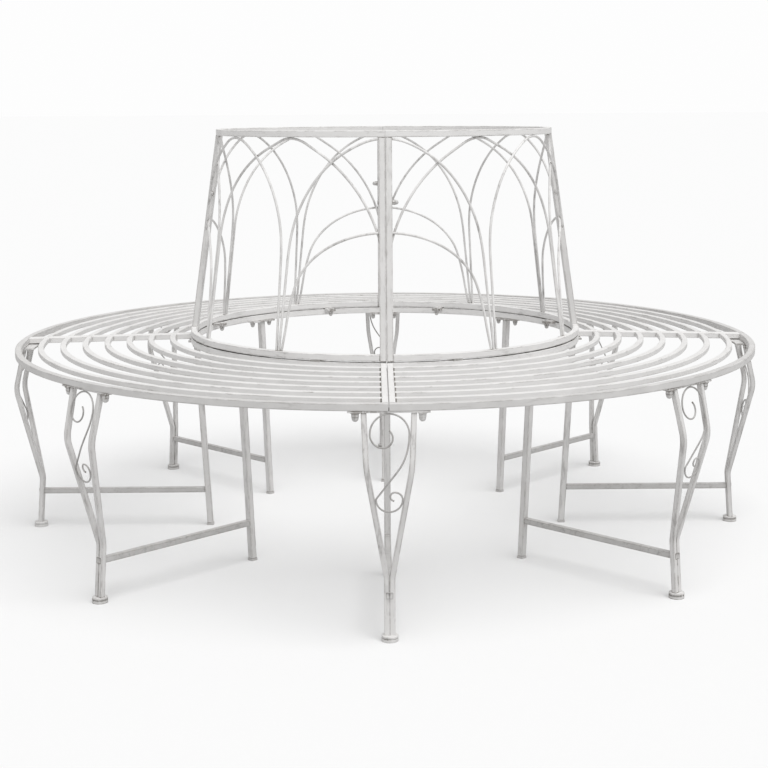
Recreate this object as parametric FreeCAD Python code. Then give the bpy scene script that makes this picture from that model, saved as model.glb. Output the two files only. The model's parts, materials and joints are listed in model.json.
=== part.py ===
import FreeCAD, Part
import math
import os

# Round tree bench of welded steel tube, made to stand around a tree trunk.
# The origin is on the ground at the centre of the ring, +Z is up and the
# front seam faces -Y. Lengths are millimetres, angles are degrees.

# Seat ring
seat_outer_radius = 800.0
seat_outer_top = 430.5
seat_inner_radius = 413.5
seat_inner_top = 439.0
rim_tube = 13.5
rim_wall = 1.2
end_bar_width = 11.0
end_bar_height = 12.0
end_bar_wall = 1.0
slat_count = 7
slat_width = 12.0
slat_height = 10.0
slat_wall = 1.0
seam_gap = 1.5
edge_rounding = 1.5

# Backrest, a ring of four conical panels
back_top = 884.5
back_top_outer_radius = 362.0
back_tube = 13.0
back_seam_gap = 0.4
back_wall = 1.2
wire_diameter = 5.0
wire_layer_gap = 0.2
wire_rail_gap = 0.1
wire_overrun = 6.0
wire_spacing_angle = 0.72
front_node_angle = 30.4
side_node_angle = 63.0
front_apex_angle = 32.0
side_apex_angle = 58.0
tall_arch_lean = 0.6
front_tall_arch_rise = 236.0
front_tall_arch_slope = 5.0
side_tall_arch_rise = 208.0
side_tall_arch_slope = 20.0
tall_arch_post_rise = 271.0
tall_arch_post_slope = 12.0
tall_arch_post_span = 31.7
half_arch_lean = 1.0
front_half_arch_rise = 237.0
front_half_arch_slope = 4.0
side_half_arch_rise = 230.0
side_half_arch_slope = 20.0
low_arch_top = 688.5
low_arch_lean = 2.6
low_arch_rise = 136.0
low_arch_turns = (0, 26, 52, 78)
arch_turns = (30, 50, 70)
post_arch_turns = (30, 50, 70, 82)

# Tabs and bolts that join the backrest to the seat and its panels together
tab_angle = 19.2
tab_width = 20.0
tab_reach = 25.0
tab_bolt_reach = 17.5
seat_tab_thickness = 3.0
rail_tab_thickness = 2.5
seam_bolt_height = 747.0

# Outer legs, two bent bars each. Setbacks run inwards and overhangs outwards from the seat's outer edge.
leg_bar = 10.0
leg_bar_wall = 1.2
leg_pair_gap = 0.2
leg_top_setback = 9.5
leg_top_spread = 43.5
knee_height = 320.0
knee_overhang = 14.0
knee_spread = 39.6
knee_bend = 70.0
ankle_height = 113.0
ankle_setback = 27.5
ankle_bend = 30.0
foot_setback = 19.0
bar_overrun = 14.0

# Plates under the rims
outer_plate_length = 143.0
outer_plate_width = 34.0
outer_plate_setback = 2.0
plate_thickness = 3.0
outer_stud_spacing = 116.0
inner_plate_length = 69.0
inner_plate_width = 25.0
inner_stud_spacing = 52.0

# Feet, inner legs and stretchers. The inner leg's top lies outside the seat's inner edge, its foot inside.
foot_disc_diameter = 30.0
foot_disc_height = 11.0
foot_groove_depth = 1.4
foot_groove_height = 2.0
foot_lip_height = 3.6
foot_rounding = 1.3
inner_leg_tube = 13.0
inner_leg_wall = 1.2
inner_leg_top_setback = 4.5
inner_leg_foot_overhang = 16.0
plug_lip = 15.0
plug_lip_height = 4.5
plug_stem_length = 18.0
plug_clearance = 0.1
stretcher_tube = 12.0
stretcher_wall = 1.0
stretcher_height = 82.0

# Scroll of thin rod between the two bars of an outer leg
scroll_rod = 3.2
scroll_clearance = 0.5
scroll_upper_radius = 34.0
scroll_upper_side_radius = 23.0
scroll_upper_end_radius = 16.5
scroll_upper_end_turn = 140.0
scroll_diagonal_radius = 106.0
scroll_diagonal_angle = 36.5
scroll_contact_radius = 4.0
scroll_lower_side_radius = 13.5
scroll_lower_end_radius = 8.0
scroll_lower_end_turn = 170.0
scroll_step_angle = 45.0
scroll_step_length = 25.0

# Fasteners
large_thread = 8.0
large_nut_flats = 13.0
large_nut_hex_height = 6.5
large_nut_height = 15.0
small_thread = 6.0
small_nut_flats = 10.0
small_nut_hex_height = 5.0
small_nut_height = 12.0
thread_clearance = 0.1
hole_clearance = 0.4
washer_thickness = 1.6
washer_diameter = 17.0
bolt_head_diameter = 10.5
bolt_head_height = 3.3
thread_grip = 8.0

# Sizes that follow from the ones above
half_gap = seam_gap / 2
back_half_gap = back_seam_gap / 2
outer_rim_mid = seat_outer_radius - rim_tube / 2
outer_rim_inner = seat_outer_radius - rim_tube
outer_rim_bottom = seat_outer_top - rim_tube
inner_rim_mid = seat_inner_radius + rim_tube / 2
inner_rim_outer = seat_inner_radius + rim_tube
inner_rim_bottom = seat_inner_top - rim_tube
back_rail_bottom = seat_inner_top + rail_tab_thickness
back_rail_top = back_rail_bottom + back_tube
top_rail_bottom = back_top - back_tube
top_rail_mid = back_top_outer_radius - back_tube / 2
post_side = back_half_gap + back_tube
wire_radius = wire_diameter / 2
layer_offset = (wire_diameter + wire_layer_gap) / 2
arch_top = top_rail_bottom - wire_radius - wire_rail_gap
outer_plate_outer_radius = seat_outer_radius - outer_plate_setback
outer_plate_bottom = outer_rim_bottom - plate_thickness
inner_plate_bottom = inner_rim_bottom - plate_thickness
leg_top_radius = seat_outer_radius - leg_top_setback
knee_radius = seat_outer_radius + knee_overhang
ankle_radius = seat_outer_radius - ankle_setback
foot_radius = seat_outer_radius - foot_setback
bar_mid_offset = (leg_bar + leg_pair_gap) / 2
inner_leg_top_radius = seat_inner_radius + inner_leg_top_setback
inner_leg_foot_radius = seat_inner_radius - inner_leg_foot_overhang
tab_bolt_radius = seat_inner_radius - tab_bolt_reach
far = 2 * seat_outer_radius
small_step = 0.01

ORIGIN = FreeCAD.Vector(0, 0, 0)
X_AXIS = FreeCAD.Vector(1, 0, 0)
Y_AXIS = FreeCAD.Vector(0, 1, 0)
Z_AXIS = FreeCAD.Vector(0, 0, 1)

# Each quadrant is drawn from the front or rear seam (angle 0) towards the
# side seam (angle 90), so the two on one side mirror the two on the other.
QUADRANTS = {
    "front_right": (270, False),
    "front_left": (270, True),
    "rear_left": (90, False),
    "rear_right": (90, True),
}
LEGS = {
    "right": 0,
    "rear_right": 45,
    "rear": 90,
    "rear_left": 135,
    "left": 180,
    "front_left": 225,
    "front": 270,
    "front_right": 315,
}


# Shapes in general

def vec(x, y, z):
    return FreeCAD.Vector(x, y, z)


def turned(shape, angle):
    """A copy turned about the bench's axis."""
    copy = shape.copy()
    copy.rotate(ORIGIN, Z_AXIS, angle)
    return copy


def placed_in_quadrant(shape, quadrant):
    angle, mirrored = QUADRANTS[quadrant]
    if mirrored:
        shape = shape.mirror(ORIGIN, Y_AXIS)
    return turned(shape, angle)


def swapped_end(shape):
    """The same piece at the quadrant's other seam."""
    return shape.mirror(ORIGIN, vec(1, -1, 0))


def around(shapes, angles):
    """Copies of some shapes turned to every angle."""
    return [turned(shape, angle) for angle in angles for shape in shapes]


def block(low, high):
    """A box between two corners."""
    size = high - low
    return Part.makeBox(size.x, size.y, size.z, low)


def slab(bottom, top):
    """All space between two heights."""
    return block(vec(-far, -far, bottom), vec(far, far, top))


def quadrant_space(offset, bottom, top):
    """The space of a quadrant that lies an offset away from both its seams."""
    return block(vec(offset, offset, bottom), vec(far, far, top))


def rounded_outline(centre, across, up, width, height, rounding):
    """A closed rectangle with round corners, across and up being unit vectors."""
    half_width = width / 2
    half_height = height / 2

    def point(a, b):
        return centre + across * a + up * b

    inset_width = half_width - rounding
    inset_height = half_height - rounding
    diagonal = rounding * math.sqrt(0.5)
    edges = []
    corners = ((1, 1), (-1, 1), (-1, -1), (1, -1))
    for number, (right, top) in enumerate(corners):
        next_right, next_top = corners[(number + 1) % 4]
        side = point(right * half_width, top * inset_height)
        middle = point(right * (inset_width + diagonal), top * (inset_height + diagonal))
        end = point(right * inset_width, top * half_height)
        if number % 2:
            side, end = end, side
        edges.append(Part.Arc(side, middle, end).toShape())
        if next_top == top:
            start_of_next = point(next_right * inset_width, next_top * half_height)
        else:
            start_of_next = point(next_right * half_width, next_top * inset_height)
        edges.append(Part.makeLine(end, start_of_next))
    return Part.Wire(edges)


def tube_outlines(centre, across, up, width, height, wall):
    """Outer and inner outline of a rectangular tube's section."""
    outer = rounded_outline(centre, across, up, width, height, edge_rounding)
    inner_rounding = max(edge_rounding - wall, edge_rounding / 4)
    inner = rounded_outline(centre, across, up, width - 2 * wall, height - 2 * wall, inner_rounding)
    return outer, inner


def tube_section(centre, across, up, width, height, wall):
    outer, inner = tube_outlines(centre, across, up, width, height, wall)
    return Part.Face(outer).cut(Part.Face(inner)).Faces[0]


def ring_tube(mid_radius, top, width, height, wall):
    """A quarter ring of rectangular tube, from one seam plane to the other."""
    centre = vec(mid_radius, 0, top - height / 2)
    section = tube_section(centre, X_AXIS, Z_AXIS, width, height, wall)
    return section.revolve(ORIGIN, Z_AXIS, 90)


def straight_tube(start, end, side, width, height, wall):
    """A rectangular tube between two points, with side as its width direction."""
    along = (end - start).normalize()
    up = along.cross(side).normalize()
    section = tube_section(start, side, up, width, height, wall)
    return section.extrude(end - start)


def straight_bar(start, end, side, width, height):
    """The space that such a tube fills from outside."""
    along = (end - start).normalize()
    up = along.cross(side).normalize()
    outline = rounded_outline(start, side, up, width, height, edge_rounding)
    return Part.Face(outline).extrude(end - start)


# Paths of straight runs and tangent arcs

def arc_from_tangent(start, direction, end):
    """The arc that leaves start along direction and reaches end."""
    chord = end - start
    along = chord * (1 / chord.Length)
    sideways = direction - along * direction.dot(along)
    if sideways.Length < 1e-6:
        return Part.makeLine(start, end)
    angle = math.atan2(sideways.Length, direction.dot(along))
    sideways.normalize()
    middle = (start + end) * 0.5 + sideways * (chord.Length / 2 * math.tan(angle / 2))
    return Part.Arc(start, middle, end).toShape()


def two_arcs(start, start_direction, end, end_direction):
    """Two arcs that join two points and keep the direction at each."""
    span = end - start
    along = span.dot(start_direction + end_direction)
    turn = 2 * (1 - start_direction.dot(end_direction))
    if turn < 1e-9:
        reach = span.dot(span) / (2 * along)
    else:
        reach = (math.sqrt(along * along + turn * span.dot(span)) - along) / turn
    middle = (start + end + (start_direction - end_direction) * reach) * 0.5
    first = arc_from_tangent(start, start_direction, middle)
    last = arc_from_tangent(end, end_direction * -1, middle)
    if last.Curve.TypeId == "Part::GeomLine":
        last = Part.makeLine(middle, end)
    else:
        half_way = last.valueAt((last.FirstParameter + last.LastParameter) / 2)
        last = Part.Arc(middle, half_way, end).toShape()
    return [first, last]


def smooth_path(stations):
    """A wire through (point, direction) pairs."""
    edges = []
    for (start, start_direction), (end, end_direction) in zip(stations, stations[1:]):
        edges += two_arcs(start, start_direction, end, end_direction)
    return Part.Wire(edges)


def bent_path(points, bends):
    """Straight runs between points, with an arc of the given radius at each inner point."""
    edges = []
    start = points[0]
    for before, corner, after, bend in zip(points, points[1:], points[2:], bends):
        back = (before - corner).normalize()
        ahead = (after - corner).normalize()
        half_turn = (math.pi - back.getAngle(ahead)) / 2
        reach = bend * math.tan(half_turn)
        entry = corner + back * reach
        leave = corner + ahead * reach
        edges.append(Part.makeLine(start, entry))
        edges.append(arc_from_tangent(entry, back * -1, leave))
        start = leave
    edges.append(Part.makeLine(start, points[-1]))
    return Part.Wire(edges)


def round_rod(path, diameter):
    """A round rod along a path."""
    first = path.Edges[0]
    start = first.valueAt(first.FirstParameter)
    circle = Part.makeCircle(diameter / 2, start, first.tangentAt(first.FirstParameter))
    return Part.Solid(path.makePipeShell([Part.Wire(circle)], True, False))


def swept(path, outline):
    """An outline swept along a path that keeps its Y direction."""
    sweep = Part.BRepOffsetAPI.MakePipeShell(path)
    sweep.setBiNormalMode(Y_AXIS)
    sweep.add(outline, False, False)
    sweep.build()
    sweep.makeSolid()
    return sweep.shape()


# Seat

def seat_top(radius):
    """Height of the seat's upper face, which falls gently outwards."""
    share = (radius - inner_rim_mid) / (outer_rim_mid - inner_rim_mid)
    return seat_inner_top + share * (seat_outer_top - seat_inner_top)


def seat_outer_rim():
    rim = ring_tube(outer_rim_mid, seat_outer_top, rim_tube, rim_tube, rim_wall)
    return [rim.common(quadrant_space(half_gap, 0, far))]


def seat_inner_rim():
    rim = ring_tube(inner_rim_mid, seat_inner_top, rim_tube, rim_tube, rim_wall)
    return [rim.common(quadrant_space(half_gap, 0, far))]


def seat_slats():
    """Curved slats at an even pitch between the two rims, ending at the end bars."""
    pitch = (outer_rim_mid - inner_rim_mid) / (slat_count + 1)
    space = quadrant_space(half_gap + end_bar_width, 0, far)
    slats = []
    for number in range(1, slat_count + 1):
        radius = inner_rim_mid + number * pitch
        slat = ring_tube(radius, seat_top(radius), slat_width, slat_height, slat_wall)
        slats.append(slat.common(space))
    return slats


def seat_end_bars():
    """The straight bars along the two seams, fitted between the rims."""
    middle = half_gap + end_bar_width / 2

    def bar_point(radius):
        return vec(radius, middle, seat_top(radius) - end_bar_height / 2)

    bar = straight_tube(bar_point(seat_inner_radius), bar_point(seat_outer_radius), Y_AXIS,
                        end_bar_width, end_bar_height, end_bar_wall)
    between_rims = Part.makeCylinder(outer_rim_inner, far).cut(Part.makeCylinder(inner_rim_outer, far))
    bar = bar.common(between_rims)
    return [bar, swapped_end(bar)]


# Backrest

def back_radius(height):
    """Radius of the middle of the backrest's cone."""
    low = back_rail_bottom + back_tube / 2
    high = back_top - back_tube / 2
    share = (height - low) / (high - low)
    return inner_rim_mid + share * (top_rail_mid - inner_rim_mid)


def back_point(angle, height, layer):
    radius = back_radius(height) + layer
    turn = math.radians(angle)
    return vec(radius * math.cos(turn), radius * math.sin(turn), height)


def back_bottom_rail():
    rail = ring_tube(inner_rim_mid, back_rail_top, back_tube, back_tube, back_wall)
    return [rail.common(quadrant_space(post_side, 0, far))]


def back_top_rail():
    rail = ring_tube(top_rail_mid, back_top, back_tube, back_tube, back_wall)
    return [rail.common(quadrant_space(back_half_gap, 0, far))]


def back_posts():
    """Leaning posts at both seams, bored for the bolt that joins two panels."""
    middle = back_half_gap + back_tube / 2
    low = vec(back_radius(seat_inner_top), middle, seat_inner_top)
    high = vec(back_radius(back_top), middle, back_top)
    post = straight_tube(low, high, Y_AXIS, back_tube, back_tube, back_wall)
    post = post.common(slab(back_rail_bottom, top_rail_bottom))
    bore = Part.makeCylinder(small_thread / 2 + hole_clearance, 2 * post_side,
                             vec(back_radius(seam_bolt_height), 0, seam_bolt_height), Y_AXIS)
    post = post.cut(bore)
    return [post, swapped_end(post)]


def leg_of_arch(apex, span, rise, slope, layer, turns):
    """Stations down one side of a pointed arch, for turn angles from its apex to its foot."""
    lean = math.radians(slope)

    def point(turn):
        angle = math.radians(turn)
        across = (math.sin(angle) - math.sin(lean)) / (1 - math.sin(lean))
        drop = (math.cos(lean) - math.cos(angle)) / math.cos(lean)
        return back_point(apex + span * across, arch_top - rise * drop, layer)

    stations = []
    for turn in turns:
        direction = (point(turn + small_step) - point(turn - small_step)).normalize()
        stations.append((point(turn), direction))
    return stations


def apex_station(apex, layer, falling):
    """The top of an arch, where the wire runs level, towards lower angles if falling."""
    turn = math.radians(apex)
    along = vec(-math.sin(turn), math.cos(turn), 0)
    if falling:
        along = along * -1
    return (back_point(apex, arch_top, layer), along)


def straight_foot(spring_angle, spring_height, foot_angle, layer):
    """The straight lower stretch of a wire, down past the bottom rail's upper face."""
    start = back_point(spring_angle, spring_height, layer)
    end = back_point(foot_angle, back_rail_top - wire_overrun, layer)
    direction = (end - start).normalize()
    return [(start, direction), (end, direction)]


def backwards(stations):
    return [(point, direction * -1) for point, direction in reversed(stations)]


def tall_arch(foot, apex, rise, slope, layer):
    """From a node on the bottom rail over an apex and down to a post."""
    side = 1 if foot > apex else -1
    spring = foot + tall_arch_lean
    up = leg_of_arch(apex, spring - apex, rise, slope, layer, arch_turns)
    up += straight_foot(spring, arch_top - rise, foot, layer)
    down = leg_of_arch(apex, -side * tall_arch_post_span, tall_arch_post_rise, tall_arch_post_slope,
                       layer, post_arch_turns)
    top = apex_station(apex, layer, side < 0)
    return smooth_path(backwards(down) + [top] + up)


def half_arch(foot, post_angle, rise, slope, layer):
    """From a node up to the top of a post."""
    side = 1 if foot > post_angle else -1
    spring = foot - side * half_arch_lean
    stations = [apex_station(post_angle, layer, side < 0)]
    stations += leg_of_arch(post_angle, spring - post_angle, rise, slope, layer, arch_turns)
    stations += straight_foot(spring, arch_top - rise, foot, layer)
    return smooth_path(stations)


def low_arch(foot, post_angle, layer):
    """A round arch that meets a post level, half of one that spans the seam."""
    side = 1 if foot > post_angle else -1
    span = foot - side * low_arch_lean - post_angle

    def point(turn):
        angle = math.radians(turn)
        return back_point(post_angle + span * math.sin(angle),
                          low_arch_top - low_arch_rise * (1 - math.cos(angle)), layer)

    stations = []
    for turn in low_arch_turns:
        direction = (point(turn + small_step) - point(turn - small_step)).normalize()
        stations.append((point(turn), direction))
    end = back_point(foot, back_rail_top - wire_overrun, layer)
    stations.append((end, (end - point(low_arch_turns[-1])).normalize()))
    return smooth_path(stations)


def back_arches():
    """Six wires of a panel. Those from the front node pass outside those from the side node."""
    outer = layer_offset
    inner = -layer_offset
    paths = [
        tall_arch(front_node_angle + wire_spacing_angle, side_apex_angle,
                  front_tall_arch_rise, front_tall_arch_slope, outer),
        half_arch(front_node_angle, 0, front_half_arch_rise, front_half_arch_slope, outer),
        low_arch(front_node_angle - wire_spacing_angle, 0, outer),
        tall_arch(side_node_angle - wire_spacing_angle, front_apex_angle,
                  side_tall_arch_rise, side_tall_arch_slope, inner),
        half_arch(side_node_angle, 90, side_half_arch_rise, side_half_arch_slope, inner),
        low_arch(side_node_angle + wire_spacing_angle, 90, inner),
    ]
    space = quadrant_space(post_side, back_rail_top, top_rail_bottom)
    return [round_rod(path, wire_diameter).common(space) for path in paths]


# Tabs that carry the backrest

def tab(bottom, thickness, outer_radius):
    """A flat tab that reaches inwards, with a bolt hole, at angle 0."""
    plate = block(vec(seat_inner_radius - tab_reach, -tab_width / 2, bottom),
                  vec(outer_radius, tab_width / 2, bottom + thickness))
    hole = Part.makeCylinder(small_thread / 2 + hole_clearance, 2 * thickness,
                             vec(tab_bolt_radius, 0, bottom - thickness / 2))
    return plate.cut(hole)


def seat_tab():
    """Welded to the inner face of the seat's inner rim."""
    plate = tab(seat_inner_top - seat_tab_thickness, seat_tab_thickness, inner_rim_mid)
    return plate.common(Part.makeCylinder(seat_inner_radius, far))


def rail_tab():
    """Welded under the backrest's bottom rail, and lying on the seat's inner rim."""
    plate = tab(seat_inner_top, rail_tab_thickness, inner_rim_outer)
    return plate.common(Part.makeCylinder(inner_rim_mid + back_tube / 2, far))


# Leg units, drawn along +X

def bar_path(side):
    """Centre line of one bar of an outer leg, run on past both its ends."""
    top = vec(leg_top_radius, side * leg_top_spread, outer_plate_bottom)
    knee = vec(knee_radius, side * knee_spread, knee_height)
    ankle = vec(ankle_radius, side * bar_mid_offset, ankle_height)
    foot = vec(foot_radius, side * bar_mid_offset, foot_disc_height)
    above = top + (top - knee).normalize() * bar_overrun
    below = foot + (foot - ankle).normalize() * bar_overrun
    return bent_path([above, knee, ankle, below], [knee_bend, ankle_bend])


def bar_outlines(path):
    edge = path.Edges[0]
    start = edge.valueAt(edge.FirstParameter)
    along = edge.tangentAt(edge.FirstParameter)
    up = vec(along.x, 0, along.z).cross(Y_AXIS).normalize()
    return start, up


def filled_bar(side):
    path = bar_path(side)
    start, up = bar_outlines(path)
    return swept(path, rounded_outline(start, Y_AXIS, up, leg_bar, leg_bar, edge_rounding))


def outer_leg():
    """Two bars that bow outwards at the knee and meet at the ankle."""
    space = slab(foot_disc_height, outer_plate_bottom)
    bars = []
    for side in (1, -1):
        path = bar_path(side)
        start, up = bar_outlines(path)
        outer, inner = tube_outlines(start, Y_AXIS, up, leg_bar, leg_bar, leg_bar_wall)
        bar = swept(path, outer).cut(swept(path, inner))
        bars.append(bar.common(space))
    return bars


def foot_disc():
    """A turned foot with a groove around its edge."""
    radius = foot_disc_diameter / 2
    groove_radius = radius - foot_groove_depth
    groove_top = foot_disc_height - foot_lip_height
    groove_bottom = groove_top - foot_groove_height
    lip = Part.makeCylinder(radius, foot_lip_height, vec(0, 0, groove_top))
    band = Part.makeCylinder(radius, groove_bottom)
    neck = Part.makeCylinder(groove_radius, foot_disc_height)
    lip = lip.makeFillet(foot_rounding, [lip.Edges[0]])
    band = band.makeFillet(foot_rounding, [band.Edges[0]])
    disc = neck.fuse([lip, band]).removeSplitter()
    disc.translate(vec(foot_radius, 0, 0))
    return disc


def inner_leg_point(height):
    share = height / inner_plate_bottom
    radius = inner_leg_foot_radius + share * (inner_leg_top_radius - inner_leg_foot_radius)
    return vec(radius, 0, height)


def inner_leg():
    """A straight tube that leans in a little towards its foot."""
    leg = straight_tube(inner_leg_point(-plug_lip), inner_leg_point(seat_inner_top), Y_AXIS,
                        inner_leg_tube, inner_leg_tube, inner_leg_wall)
    return leg.common(slab(plug_lip_height, inner_plate_bottom))


def inner_leg_plug():
    """A plastic end plug, with its stem inside the tube and its lip on the ground."""
    stem_width = inner_leg_tube - 2 * inner_leg_wall - 2 * plug_clearance
    lip = straight_bar(inner_leg_point(-plug_lip), inner_leg_point(plug_lip), Y_AXIS, plug_lip, plug_lip)
    lip = lip.common(slab(0, plug_lip_height))
    stem_top = plug_lip_height + plug_stem_length
    stem = straight_bar(inner_leg_point(0), inner_leg_point(stem_top), Y_AXIS, stem_width, stem_width)
    stem = stem.common(slab(plug_lip_height / 2, far))
    return lip.fuse(stem).removeSplitter()


def stretcher():
    """A level tube from the inner leg to the bars of the outer leg."""
    start = inner_leg_point(stretcher_height)
    end = vec(foot_radius, 0, stretcher_height)
    tube = straight_tube(start, end, Y_AXIS, stretcher_tube, stretcher_tube, stretcher_wall)
    leg = straight_bar(inner_leg_point(0), inner_leg_point(inner_plate_bottom), Y_AXIS,
                       inner_leg_tube, inner_leg_tube)
    pieces = tube.cut([leg, filled_bar(1), filled_bar(-1)]).Solids
    return max(pieces, key=lambda piece: piece.Volume)


def stud_places(mid_radius, spacing):
    """Centres of a plate's two studs, on the middle of the rim above it."""
    half = spacing / 2
    radius = math.sqrt(mid_radius ** 2 - half ** 2)
    return [(radius, -half), (radius, half)]


def plate_with_holes(low, high, places, thread):
    plate = block(low, high)
    for x, y in places:
        hole = Part.makeCylinder(thread / 2 + hole_clearance, far, vec(x, y, 0))
        plate = plate.cut(hole)
    return plate


def outer_leg_plate():
    low = vec(outer_plate_outer_radius - outer_plate_width, -outer_plate_length / 2, outer_plate_bottom)
    high = vec(outer_plate_outer_radius, outer_plate_length / 2, outer_rim_bottom)
    return plate_with_holes(low, high, stud_places(outer_rim_mid, outer_stud_spacing), large_thread)


def inner_leg_plate():
    low = vec(inner_rim_mid - inner_plate_width / 2, -inner_plate_length / 2, inner_plate_bottom)
    high = vec(inner_rim_mid + inner_plate_width / 2, inner_plate_length / 2, inner_rim_bottom)
    return plate_with_holes(low, high, stud_places(inner_rim_mid, inner_stud_spacing), small_thread)


# Scroll

def bar_inner_face(height):
    """Half the clear width between the bars, on the straight runs above and below the knee."""
    if height > knee_height:
        share = (height - knee_height) / (outer_plate_bottom - knee_height)
        spread = knee_spread + share * (leg_top_spread - knee_spread)
    else:
        share = (height - ankle_height) / (knee_height - ankle_height)
        spread = bar_mid_offset + share * (knee_spread - bar_mid_offset)
    return spread - leg_bar / 2


def bar_outer_face_radius(height):
    """Distance of the bars' outer faces from the axis, with the knee rounded off."""
    above = (knee_radius - leg_top_radius) / (outer_plate_bottom - knee_height)
    below = (knee_radius - ankle_radius) / (knee_height - ankle_height)
    half_bend = (math.atan(above) + math.atan(below)) / 2
    knee_loss = knee_bend * (1 / math.cos(half_bend) - 1)
    upper = knee_radius - (height - knee_height) * above
    lower = knee_radius + (height - knee_height) * below
    return (upper + lower - math.hypot(upper - lower, 2 * knee_loss)) / 2 + leg_bar / 2


class Pen:
    """Walks along arcs and straight runs on the surface that the bars' outer faces bow in."""

    def __init__(self, across, up, heading):
        self.across = across
        self.up = up
        self.heading = heading
        self.stations = []
        self.note()

    def note(self):
        """Keeps the point that the pen has come to, and its direction there."""
        turn = math.radians(self.heading)
        rise = bar_outer_face_radius(self.up + small_step) - bar_outer_face_radius(self.up - small_step)
        slope = rise / (2 * small_step)
        point = vec(bar_outer_face_radius(self.up), self.across, self.up)
        direction = vec(slope * math.sin(turn), math.cos(turn), math.sin(turn)).normalize()
        self.stations.append((point, direction))

    def run(self, length):
        steps = math.ceil(length / scroll_step_length)
        turn = math.radians(self.heading)
        for _ in range(steps):
            self.across += length / steps * math.cos(turn)
            self.up += length / steps * math.sin(turn)
            self.note()

    def bend(self, radius, angle):
        """An arc, to the left for a positive angle and to the right for a negative one."""
        side = 1 if angle > 0 else -1
        towards = math.radians(self.heading + side * 90)
        centre_across = self.across + radius * math.cos(towards)
        centre_up = self.up + radius * math.sin(towards)
        steps = math.ceil(abs(angle) / scroll_step_angle)
        for _ in range(steps):
            self.heading += angle / steps
            outwards = math.radians(self.heading - side * 90)
            self.across = centre_across + radius * math.cos(outwards)
            self.up = centre_up + radius * math.sin(outwards)
            self.note()


def leg_scroll():
    """An S of thin rod that lies against the plate above and a bar on either side."""
    clear = scroll_rod / 2 + scroll_clearance
    crown = outer_plate_bottom - clear
    side_height = crown - scroll_upper_radius
    right_side = bar_inner_face(side_height) - clear

    # The diagonal runs down until the rod's left side comes to the left bar.
    lean = math.radians(scroll_diagonal_angle)
    run_start_across = right_side - scroll_diagonal_radius * (1 - math.cos(lean))
    run_start_up = side_height - scroll_diagonal_radius * math.sin(lean)

    def gap_to_bar(run):
        across = run_start_across - run * math.sin(lean) - scroll_contact_radius * (1 - math.cos(lean))
        up = run_start_up - run * math.cos(lean) - scroll_contact_radius * math.sin(lean)
        return across + bar_inner_face(up) - clear

    first_guess = scroll_diagonal_radius
    slope = gap_to_bar(first_guess + 1) - gap_to_bar(first_guess)
    diagonal_run = first_guess - gap_to_bar(first_guess) / slope

    # It is drawn from the inner end of the upper curl.
    end_angle = math.radians(scroll_upper_end_turn - 90)
    centre_across = right_side - 2 * scroll_upper_radius + scroll_upper_side_radius
    centre_up = side_height - scroll_upper_side_radius + scroll_upper_end_radius
    pen = Pen(centre_across + scroll_upper_end_radius * math.cos(end_angle),
              centre_up + scroll_upper_end_radius * math.sin(end_angle),
              scroll_upper_end_turn - 180)
    pen.bend(scroll_upper_end_radius, -scroll_upper_end_turn)
    pen.bend(scroll_upper_side_radius, -90)
    pen.bend(scroll_upper_radius, -180)
    pen.bend(scroll_diagonal_radius, -scroll_diagonal_angle)
    pen.run(diagonal_run)
    pen.bend(scroll_contact_radius, scroll_diagonal_angle)

    # The lower curl is as wide as the space left before the right bar.
    lower_radius = (bar_inner_face(pen.up) - clear - pen.across) / 2
    pen.bend(lower_radius, 180)
    pen.bend(scroll_lower_side_radius, 90)
    pen.bend(scroll_lower_end_radius, scroll_lower_end_turn)

    return round_rod(smooth_path(pen.stations), scroll_rod)


# Fasteners, drawn along +Z with their seat at the origin

def dome_nut(flats, hex_height, height, thread):
    """A closed nut that stands up from z 0, bored from below."""
    corner = flats / math.sqrt(3)
    corners = []
    for number in range(7):
        turn = math.radians(60 * number)
        corners.append(vec(corner * math.cos(turn), corner * math.sin(turn), 0))
    body = Part.Face(Part.makePolygon(corners)).extrude(vec(0, 0, hex_height))
    dome_radius = flats * 0.46
    dome_rise = height - hex_height
    side = vec(dome_radius, 0, hex_height)
    shoulder = vec(dome_radius, 0, height - dome_radius)
    slant = vec(dome_radius * math.sqrt(0.5), 0, height - dome_radius * (1 - math.sqrt(0.5)))
    crown = vec(0, 0, height)
    middle = vec(0, 0, hex_height)
    edges = [Part.makeLine(middle, side)]
    if dome_rise > dome_radius:
        edges.append(Part.makeLine(side, shoulder))
        edges.append(Part.Arc(shoulder, slant, crown).toShape())
    else:
        low_slant = vec(dome_radius * math.sqrt(0.5), 0, hex_height + dome_rise * math.sqrt(0.5))
        edges.append(Part.Arc(side, low_slant, crown).toShape())
    edges.append(Part.makeLine(crown, middle))
    dome = Part.Face(Part.Wire(edges)).revolve(ORIGIN, Z_AXIS, 360)
    bore_depth = thread_grip + 1
    bore = Part.makeCylinder(thread / 2 + thread_clearance, bore_depth)
    return body.fuse(dome).removeSplitter().cut(bore)


def large_nut():
    return dome_nut(large_nut_flats, large_nut_hex_height, large_nut_height, large_thread)


def small_nut():
    return dome_nut(small_nut_flats, small_nut_hex_height, small_nut_height, small_thread)


def washer():
    ring = Part.makeCylinder(washer_diameter / 2, washer_thickness)
    return ring.cut(Part.makeCylinder(large_thread / 2 + hole_clearance, washer_thickness))


def bolt(grip):
    """A bolt with a low round head on z 0, and its shank down through a grip and into a nut."""
    head = Part.makeCylinder(bolt_head_diameter / 2, bolt_head_height)
    head = head.makeFillet(bolt_head_height * 0.7, [head.Edges[0]])
    shank = Part.makeCylinder(small_thread / 2, grip + thread_grip, vec(0, 0, -grip - thread_grip))
    return head.fuse(shank).removeSplitter()


def moved(shape, place, flipped=False):
    copy = shape.copy()
    if flipped:
        copy.rotate(ORIGIN, X_AXIS, 180)
    copy.translate(place)
    return copy


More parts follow.
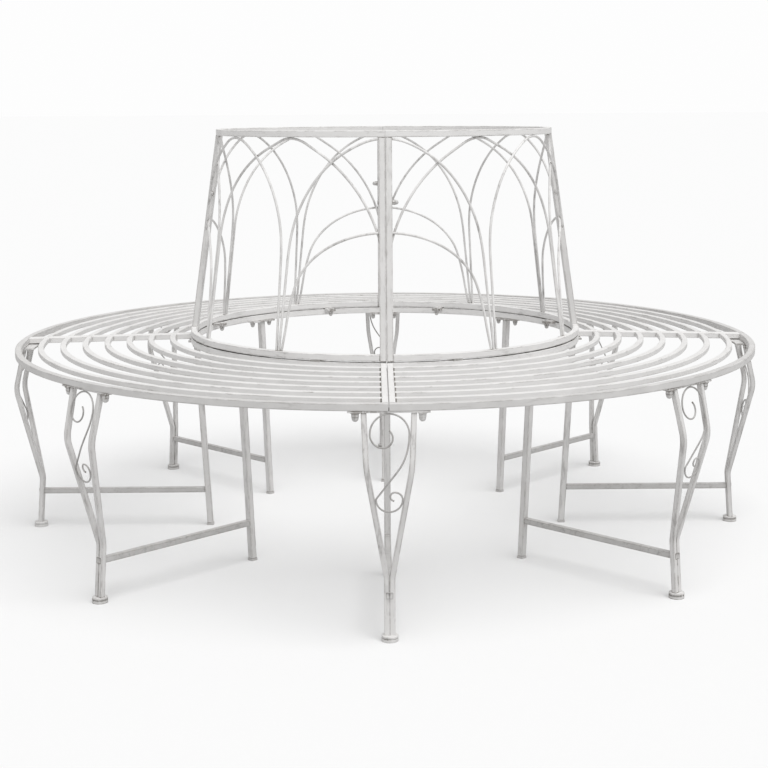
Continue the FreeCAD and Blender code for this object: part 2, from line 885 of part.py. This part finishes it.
def large_nuts():
    """Washers and closed nuts under an outer leg's plate."""
    pieces = []
    for x, y in stud_places(outer_rim_mid, outer_stud_spacing):
        pieces.append(moved(washer(), vec(x, y, outer_plate_bottom - washer_thickness)))
        pieces.append(moved(large_nut(), vec(x, y, outer_plate_bottom - washer_thickness), True))
    return pieces


def inner_plate_nuts():
    places = stud_places(inner_rim_mid, inner_stud_spacing)
    return [moved(small_nut(), vec(x, y, inner_plate_bottom), True) for x, y in places]


def rim_studs():
    """Threaded studs welded under both rims for one leg unit."""
    studs = []
    large_length = plate_thickness + washer_thickness + thread_grip
    for x, y in stud_places(outer_rim_mid, outer_stud_spacing):
        place = vec(x, y, outer_rim_bottom - large_length)
        studs.append(Part.makeCylinder(large_thread / 2, large_length, place))
    small_length = plate_thickness + thread_grip
    for x, y in stud_places(inner_rim_mid, inner_stud_spacing):
        place = vec(x, y, inner_rim_bottom - small_length)
        studs.append(Part.makeCylinder(small_thread / 2, small_length, place))
    return studs


def tab_bolt():
    grip = rail_tab_thickness + seat_tab_thickness
    return moved(bolt(grip), vec(tab_bolt_radius, 0, back_rail_bottom))


def tab_nut():
    return moved(small_nut(), vec(tab_bolt_radius, 0, seat_inner_top - seat_tab_thickness), True)


def seam_bolt():
    """A bolt across the two posts of a seam, with its head on the -Y side."""
    piece = bolt(2 * post_side)
    piece.rotate(ORIGIN, X_AXIS, 90)
    piece.translate(vec(back_radius(seam_bolt_height), -post_side, seam_bolt_height))
    return piece


def seam_nut():
    piece = small_nut()
    piece.rotate(ORIGIN, X_AXIS, -90)
    piece.translate(vec(back_radius(seam_bolt_height), post_side, seam_bolt_height))
    return piece


# Writing the pieces

def export(name, solids):
    """One file for a node, from one solid or several separate ones."""
    solids = [solid for shape in solids for solid in shape.Solids]
    shape = solids[0] if len(solids) == 1 else Part.makeCompound(solids)
    shape.exportStep("parts/" + name + ".step")


def export_quadrants():
    builders = {
        "seat_outer_rim": seat_outer_rim,
        "seat_inner_rim": seat_inner_rim,
        "seat_slats": seat_slats,
        "seat_end_bars": seat_end_bars,
        "back_top_rail": back_top_rail,
        "back_bottom_rail": back_bottom_rail,
        "back_posts": back_posts,
        "back_arches": back_arches,
    }
    for piece_name, builder in builders.items():
        pieces = builder()
        for quadrant in QUADRANTS:
            copies = [placed_in_quadrant(piece, quadrant) for piece in pieces]
            export(piece_name + "_" + quadrant, copies)


def export_legs():
    """Each outer and inner leg is its own node, and the small pieces are grouped."""
    angles = list(LEGS.values())
    outer = outer_leg()
    inner = inner_leg()
    for leg, angle in LEGS.items():
        export("outer_leg_" + leg, around(outer, [angle]))
        export("inner_leg_" + leg, around([inner], [angle]))
    export("leg_scrolls", around([leg_scroll()], angles))
    export("leg_stretchers", around([stretcher()], angles))
    export("foot_discs", around([foot_disc()], angles))
    export("inner_leg_plugs", around([inner_leg_plug()], angles))
    export("outer_leg_plates", around([outer_leg_plate()], angles))
    export("inner_leg_plates", around([inner_leg_plate()], angles))
    export("rim_studs", around(rim_studs(), angles))
    export("large_nuts_and_washers", around(large_nuts(), angles))


def export_fastenings():
    seams = [0, 90, 180, 270]
    tabs = [seam + side * tab_angle for seam in seams for side in (1, -1)]
    export("seat_tabs", around([seat_tab()], tabs))
    export("rail_tabs", around([rail_tab()], tabs))
    export("bolts", around([tab_bolt()], tabs) + around([seam_bolt()], seams))
    nuts = around([tab_nut()], tabs) + around([seam_nut()], seams)
    export("small_nuts", nuts + around(inner_plate_nuts(), LEGS.values()))


os.makedirs("parts", exist_ok=True)
export_quadrants()
export_legs()
export_fastenings()
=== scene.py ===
import json
import math
from collections import namedtuple

import bpy
from mathutils import Matrix, Vector

# A round tree bench in distressed off-white paint, on a pale floor.
# Lengths are metres, angles are radians, and the bench's front seam faces -Y.

# Camera
camera_distance = 3.3727
camera_height = 0.9292
bench_turn = 0.0075
camera_yaw = -0.0008
camera_pitch = 0.1786
camera_roll = 0.0060
focal_in_pixels = 1534.4
picture_width = 768
sensor_width = 36.0

# Light
sky_strength = 0.56
backdrop_strength = 0.985
key_strength = 2.0
key_softness = math.radians(50)
key_height = math.radians(66)
key_side = math.radians(30)
white = (1.0, 1.0, 1.0, 1.0)
floor_size = 400.0
floor_white = 0.85
floor_bounce = 0.62

# Where the wear and the painted shade are: a softened normal leaves the true one at an edge, and a corner
# sees little open space, which is darkened as dirt and painted shade.
edge_reach = 0.003
edge_samples = 8
edge_start = 0.998
edge_end = 0.93
corner_reach = 0.006
corner_samples = 8
corner_start = 0.62
corner_end = 0.25

# Welds: how far from a seam the slats' bare ends are, and how steep a face has to be to show one.
weld_start = 0.0136
weld_end = 0.0152
side_start = 0.5
side_end = 0.1

# Brushing: how much longer the streaks are than wide, and the ring on which those round the bench are true.
ring_stretch = 7.0
upright_stretch = 7.0
ring_radius = 0.7

# Noise patterns: each one's fineness, detail and roughness, and the levels between which it fades in.
Pattern = namedtuple("Pattern", "scale detail roughness low high")
rubbed_patches = Pattern(16.0, 4.0, 0.6, 0.58, 0.66)
rubbed_grains = Pattern(220.0, 3.0, 0.6, 0.30, 0.50)
# Patches that break up the dirt and painted shade in the corners.
dirt_and_shade_patches = Pattern(60.0, 3.0, 0.5, 0.35, 0.60)
mottling = Pattern(18.0, 4.0, 0.6, 0.32, 0.68)
brush_streaks = Pattern(130.0, 6.0, 0.7, 0.64, 0.80)
streaked_patches = Pattern(9.0, 2.0, 0.5, 0.36, 0.60)

# Finish: the paint's gloss, and a fine relief that is lower and rougher where the paint is worn and in the
# corners of dirt and painted shade.
gloss = 0.4
worn_roughness = 0.25
relief_scale = 420.0
relief_detail = 4.0
relief_roughness = 0.6
relief_strength = 0.35
relief_height = 0.0004
worn_sink = 0.6

# Paints: the way each is brushed, the levels of its fresh, dulled, streaked and worn colours (the worn one
# also paints the shade in corners),
# how much of the edges is rubbed, how many streaks there are, and the roughness.
Paint = namedtuple("Paint", "run fresh dulled streaked worn rubbing streaking roughness")
paint_warmth = 0.02
bare_warmth = 0.04
# The dark levels of worn paint, which also colour the painted shade in corners.
bare_and_shade = 0.17
soft_bare_and_shade = 0.26
# The levels differ between pieces partly as painted light and shade: lit and shaded copies of one off-white
# paint, darker on the rim, legs, stretchers and scrolls, lighter on the rails and back arches.
paints = {
    "slat_paint": Paint("round", 0.82, 0.76, 0.60, soft_bare_and_shade, 0.05, 0.05, 0.50),
    "end_bar_paint": Paint("round", 0.84, 0.79, 0.64, soft_bare_and_shade, 0.05, 0.04, 0.50),
    "rim_paint": Paint("round", 0.70, 0.62, 0.46, bare_and_shade, 0.14, 0.10, 0.50),
    "rail_paint": Paint("round", 0.86, 0.80, 0.56, bare_and_shade, 0.13, 0.09, 0.50),
    "post_paint": Paint("upright", 0.80, 0.72, 0.50, bare_and_shade, 0.15, 0.12, 0.50),
    "leg_paint": Paint("upright", 0.76, 0.68, 0.44, bare_and_shade, 0.19, 0.13, 0.52),
    "stretcher_paint": Paint("round", 0.60, 0.52, 0.36, bare_and_shade, 0.19, 0.12, 0.52),
    "arch_paint": Paint("upright", 0.88, 0.66, 0.38, bare_and_shade, 0.14, 0.14, 0.55),
    "scroll_paint": Paint("upright", 0.60, 0.40, 0.26, bare_and_shade, 0.18, 0.16, 0.55),
    "fastener_paint": Paint("upright", 0.72, 0.60, 0.38, bare_and_shade, 0.20, 0.12, 0.45),
    "plug_finish": Paint("upright", 0.66, 0.54, 0.40, soft_bare_and_shade, 0.10, 0.08, 0.65),
}
welded_paint = "slat_paint"

# The paint of each piece, by how its name starts or else by its slot. All others take the usual paint.
usual_paint = "leg_paint"
paint_by_slot = {"painted_fasteners": "fastener_paint", "end_plugs": "plug_finish"}
paint_by_name = {
    "seat_slats": "slat_paint",
    "seat_end_bars": "end_bar_paint",
    "seat_outer_rim": "rim_paint",
    "seat_inner_rim": "rail_paint",
    "back_top_rail": "rail_paint",
    "back_bottom_rail": "rail_paint",
    "back_posts": "post_paint",
    "back_arches": "arch_paint",
    "leg_scrolls": "scroll_paint",
    "leg_stretchers": "stretcher_paint",
}

# Places of the colours among the mix node's sockets
first_colour = 6
second_colour = 7
mixed_colour = 2

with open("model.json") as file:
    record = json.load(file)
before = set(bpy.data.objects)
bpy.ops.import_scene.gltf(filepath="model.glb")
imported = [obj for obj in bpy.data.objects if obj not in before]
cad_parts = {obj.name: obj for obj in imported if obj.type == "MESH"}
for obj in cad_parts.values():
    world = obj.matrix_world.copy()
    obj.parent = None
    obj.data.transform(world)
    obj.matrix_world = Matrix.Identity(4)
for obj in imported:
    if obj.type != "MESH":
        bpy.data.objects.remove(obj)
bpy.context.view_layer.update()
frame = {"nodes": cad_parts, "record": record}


class Nodes:
    """A short way to add shader nodes to a material or a world and join them."""

    def __init__(self, owner):
        owner.use_nodes = True
        self.tree = owner.node_tree
        self.tree.nodes.clear()

    def add(self, kind, **settings):
        node = self.tree.nodes.new(kind)
        for name, value in settings.items():
            setattr(node, name, value)
        return node

    def join(self, source, target):
        self.tree.links.new(source, target)

    def apart(self, vector):
        """The three parts of a vector."""
        node = self.add("ShaderNodeSeparateXYZ")
        self.join(vector, node.inputs["Vector"])
        return node.outputs

    def noise(self, coordinates, scale, detail, roughness):
        node = self.add("ShaderNodeTexNoise")
        node.inputs["Scale"].default_value = scale
        node.inputs["Detail"].default_value = detail
        node.inputs["Roughness"].default_value = roughness
        self.join(coordinates, node.inputs["Vector"])
        return node.outputs["Fac"]

    def remap(self, value, low, high, to_low=0.0, to_high=1.0):
        node = self.add("ShaderNodeMapRange")
        node.inputs["From Min"].default_value = low
        node.inputs["From Max"].default_value = high
        node.inputs["To Min"].default_value = to_low
        node.inputs["To Max"].default_value = to_high
        self.join(value, node.inputs["Value"])
        return node.outputs["Result"]

    def pattern(self, coordinates, shape, more=0.0):
        """A noise that fades in between its two levels, which are lowered where more of it is to show."""
        noise = self.noise(coordinates, shape.scale, shape.detail, shape.roughness)
        return self.remap(noise, shape.low - more, shape.high - more)

    def math(self, operation, first, second=0.0):
        node = self.add("ShaderNodeMath", operation=operation)
        for socket, value in zip(node.inputs, (first, second)):
            if isinstance(value, (int, float)):
                socket.default_value = value
            else:
                self.join(value, socket)
        return node.outputs["Value"]

    def blend(self, share, first, second):
        """A mix of two colours, each a plain tuple or a socket."""
        node = self.add("ShaderNodeMix", data_type="RGBA")
        self.join(share, node.inputs["Factor"])
        for place, value in ((first_colour, first), (second_colour, second)):
            if isinstance(value, tuple):
                node.inputs[place].default_value = value
            else:
                self.join(value, node.inputs[place])
        return node.outputs[mixed_colour]

    def seen_or_bounced(self, seen, bounced):
        """One shader where the camera looks at it directly, and another for the light that it sends on."""
        mix = self.add("ShaderNodeMixShader")
        looking = self.add("ShaderNodeLightPath").outputs["Is Camera Ray"]
        self.join(looking, mix.inputs["Fac"])
        for socket, shader in zip(mix.inputs[1:], (bounced, seen)):
            self.join(shader, socket)
        return mix.outputs["Shader"]

    def plain_shader(self, kind, colour):
        node = self.add(kind)
        node.inputs["Color"].default_value = colour
        return node


def brushed_along(nodes, place, run):
    """Coordinates drawn out along the piece, so that streaks lie in lines: round the bench or upright."""
    x, y, z = nodes.apart(place)
    together = nodes.add("ShaderNodeCombineXYZ")
    if run == "round":
        angle = nodes.math("ARCTAN2", y, x)
        squares = nodes.math("ADD", nodes.math("MULTIPLY", x, x), nodes.math("MULTIPLY", y, y))
        drawn_out = nodes.math("MULTIPLY", angle, ring_radius / ring_stretch)
        parts = (drawn_out, nodes.math("SQRT", squares), z)
    else:
        parts = (x, y, nodes.math("MULTIPLY", z, 1 / upright_stretch))
    for part, socket in zip(parts, together.inputs):
        nodes.join(part, socket)
    return together.outputs["Vector"]


def edges(nodes, true_normal):
    """The edges of the pieces, where the softened normal leaves the true one."""
    soft = nodes.add("ShaderNodeBevel", samples=edge_samples)
    soft.inputs["Radius"].default_value = edge_reach
    agreement = nodes.add("ShaderNodeVectorMath", operation="DOT_PRODUCT")
    for normal, socket in zip((soft.outputs["Normal"], true_normal), agreement.inputs):
        nodes.join(normal, socket)
    return nodes.remap(agreement.outputs["Value"], edge_start, edge_end)


def shaded_corners(nodes):
    """The corners where pieces meet, by how little open space they see: a mask for dirt and painted shade.
    """
    crowding = nodes.add("ShaderNodeAmbientOcclusion", samples=corner_samples)
    crowding.inputs["Distance"].default_value = corner_reach
    return nodes.remap(crowding.outputs["AO"], corner_start, corner_end)


def weld_spots(nodes, place, true_normal):
    """Dark welds on the sides of the slats' last millimetres, beside the end bars of all four seams."""
    x, y, z = nodes.apart(place)
    from_seam = nodes.math("MINIMUM", nodes.math("ABSOLUTE", x), nodes.math("ABSOLUTE", y))
    beside_bar = nodes.remap(from_seam, weld_end, weld_start)
    upward = nodes.apart(true_normal)["Z"]
    on_side = nodes.remap(nodes.math("ABSOLUTE", upward), side_start, side_end)
    return nodes.math("MULTIPLY", beside_bar, on_side)


def wear_and_shade_of(nodes, place, along, rubbing, welded):
    """Edges rubbed in patches and thin scratches, dirt and painted shade in corners, and weld spots where
    there are any.
    """
    true_normal = nodes.add("ShaderNodeNewGeometry").outputs["True Normal"]
    patches = nodes.pattern(place, rubbed_patches, rubbing)
    rubbed_edges = nodes.math("MULTIPLY", edges(nodes, true_normal), patches)
    rubbed = nodes.math("MULTIPLY", rubbed_edges, nodes.pattern(along, rubbed_grains))
    # Dirt and painted shade: corners that see little open space are darkened, in patches.
    dirt_and_shade = nodes.math("MULTIPLY", shaded_corners(nodes), nodes.pattern(place, dirt_and_shade_patches))
    wear_and_shade = nodes.math("MAXIMUM", rubbed, dirt_and_shade)
    if welded:
        wear_and_shade = nodes.math("MAXIMUM", wear_and_shade, weld_spots(nodes, place, true_normal))
    return wear_and_shade


def grey(level, warmth):
    """A light colour a little warmer than grey."""
    return (level, level - warmth / 2, level - warmth, 1.0)


def colour_of(nodes, place, along, paint, wear_and_shade):
    """Mottled paint, with grey streaks along it in some patches, and the worn colour over both, which also
    paints the shade in corners.
    """
    fresh = grey(paint.fresh, paint_warmth)
    dulled = grey(paint.dulled, paint_warmth)
    streaked = grey(paint.streaked, paint_warmth)
    worn = grey(paint.worn, bare_warmth)
    mottled = nodes.blend(nodes.pattern(place, mottling), fresh, dulled)
    streaks = nodes.pattern(along, brush_streaks, paint.streaking)
    streaks = nodes.math("MULTIPLY", streaks, nodes.pattern(place, streaked_patches))
    brushed = nodes.blend(streaks, mottled, streaked)
    return nodes.blend(wear_and_shade, brushed, worn)


def relief_of(nodes, place, wear_and_shade):
    """The normal of a fine relief that sinks where the paint is worn and in the corners of dirt and painted
    shade.
    """
    bump = nodes.add("ShaderNodeBump")
    bump.inputs["Strength"].default_value = relief_strength
    bump.inputs["Distance"].default_value = relief_height
    fine = nodes.noise(place, relief_scale, relief_detail, relief_roughness)
    height = nodes.math("SUBTRACT", fine, nodes.math("MULTIPLY", wear_and_shade, worn_sink))
    nodes.join(height, bump.inputs["Height"])
    return bump.outputs["Normal"]


def make_paint(name, paint):
    """A distressed off-white paint, brushed with grey, rubbed dark along edges, with dirt and painted shade
    in corners.
    """
    material = bpy.data.materials.new(name)
    nodes = Nodes(material)
    place = nodes.add("ShaderNodeTexCoord").outputs["Object"]
    along = brushed_along(nodes, place, paint.run)
    # One mask for rubbed edges, welds, and the dirt and painted shade in corners.
    wear_and_shade = wear_and_shade_of(nodes, place, along, paint.rubbing, name == welded_paint)
    rough = nodes.remap(wear_and_shade, 0.0, 1.0, paint.roughness, paint.roughness + worn_roughness)
    shader = nodes.add("ShaderNodeBsdfPrincipled")
    shader.inputs["Specular IOR Level"].default_value = gloss
    nodes.join(colour_of(nodes, place, along, paint, wear_and_shade), shader.inputs["Base Color"])
    nodes.join(rough, shader.inputs["Roughness"])
    nodes.join(relief_of(nodes, place, wear_and_shade), shader.inputs["Normal"])
    output = nodes.add("ShaderNodeOutputMaterial")
    nodes.join(shader.outputs["BSDF"], output.inputs["Surface"])
    return material


def paint_nodes():
    """Gives every node of the bench the paint of its kind of piece; some of these paints are lit and shaded
    copies of one paint, as painted light and shade.
    """
    materials = {name: make_paint(name, paint) for name, paint in paints.items()}
    slots = {part["node"]: part["material_slot"] for part in frame["record"]["subparts"]}
    for name, piece in frame["nodes"].items():
        chosen = paint_by_slot.get(slots[name], usual_paint)
        for start, paint in paint_by_name.items():
            if name.startswith(start):
                chosen = paint
        piece.data.materials.clear()
        piece.data.materials.append(materials[chosen])


def add_floor():
    """A pale floor that keeps the bench's soft shadow."""
    half = floor_size / 2
    mesh = bpy.data.meshes.new("floor")
    square = [(-half, -half, 0), (half, -half, 0), (half, half, 0), (-half, half, 0)]
    mesh.from_pydata(square, [], [(0, 1, 2, 3)])
    floor = bpy.data.objects.new("floor", mesh)
    bpy.context.scene.collection.objects.link(floor)
    material = bpy.data.materials.new("floor_white")
    nodes = Nodes(material)
    seen = nodes.plain_shader("ShaderNodeBsdfDiffuse", grey(floor_white, 0.0))
    bounced = nodes.plain_shader("ShaderNodeBsdfDiffuse", grey(floor_bounce, 0.0))
    surface = nodes.seen_or_bounced(seen.outputs["BSDF"], bounced.outputs["BSDF"])
    output = nodes.add("ShaderNodeOutputMaterial")
    nodes.join(surface, output.inputs["Surface"])
    mesh.materials.append(material)


def add_sky():
    """An even soft sky, plain white where the camera looks at it directly."""
    world = bpy.data.worlds.new("studio")
    bpy.context.scene.world = world
    nodes = Nodes(world)
    sky = nodes.plain_shader("ShaderNodeBackground", white)
    sky.inputs["Strength"].default_value = sky_strength
    backdrop = nodes.plain_shader("ShaderNodeBackground", white)
    backdrop.inputs["Strength"].default_value = backdrop_strength
    surface = nodes.seen_or_bounced(backdrop.outputs["Background"], sky.outputs["Background"])
    output = nodes.add("ShaderNodeOutputWorld")
    nodes.join(surface, output.inputs["Surface"])


def add_key_light():
    """One large soft light, high in front and a little to the right."""
    light = bpy.data.lights.new("key", "SUN")
    light.energy = key_strength
    light.angle = key_softness
    lamp = bpy.data.objects.new("key", light)
    level_reach = math.cos(key_height)
    towards = Vector((level_reach * math.sin(key_side),
                      -level_reach * math.cos(key_side), math.sin(key_height)))
    lamp.rotation_euler = towards.to_track_quat("Z", "Y").to_euler()
    bpy.context.scene.collection.objects.link(lamp)


def rotation(angle, axis):
    """A rotation as a matrix of four rows and columns."""
    return Matrix.Rotation(angle, 4, axis)


def add_camera():
    """The camera of the photograph: in front, above the seat, looking slightly down."""
    data = bpy.data.cameras.new("camera")
    data.sensor_width = sensor_width
    data.lens = focal_in_pixels * sensor_width / picture_width
    camera = bpy.data.objects.new("camera", data)
    turn = rotation(-bench_turn - camera_yaw, "Z")
    pitch = rotation(math.pi / 2 - camera_pitch, "X")
    roll = rotation(-camera_roll, "Z")
    place = Matrix.Translation((-camera_distance * math.sin(bench_turn),
                                -camera_distance * math.cos(bench_turn), camera_height))
    camera.matrix_world = place @ turn @ pitch @ roll
    bpy.context.scene.collection.objects.link(camera)
    bpy.context.scene.camera = camera


paint_nodes()
add_floor()
add_sky()
add_key_light()
add_camera()
bpy.context.scene.view_settings.view_transform = "Standard"
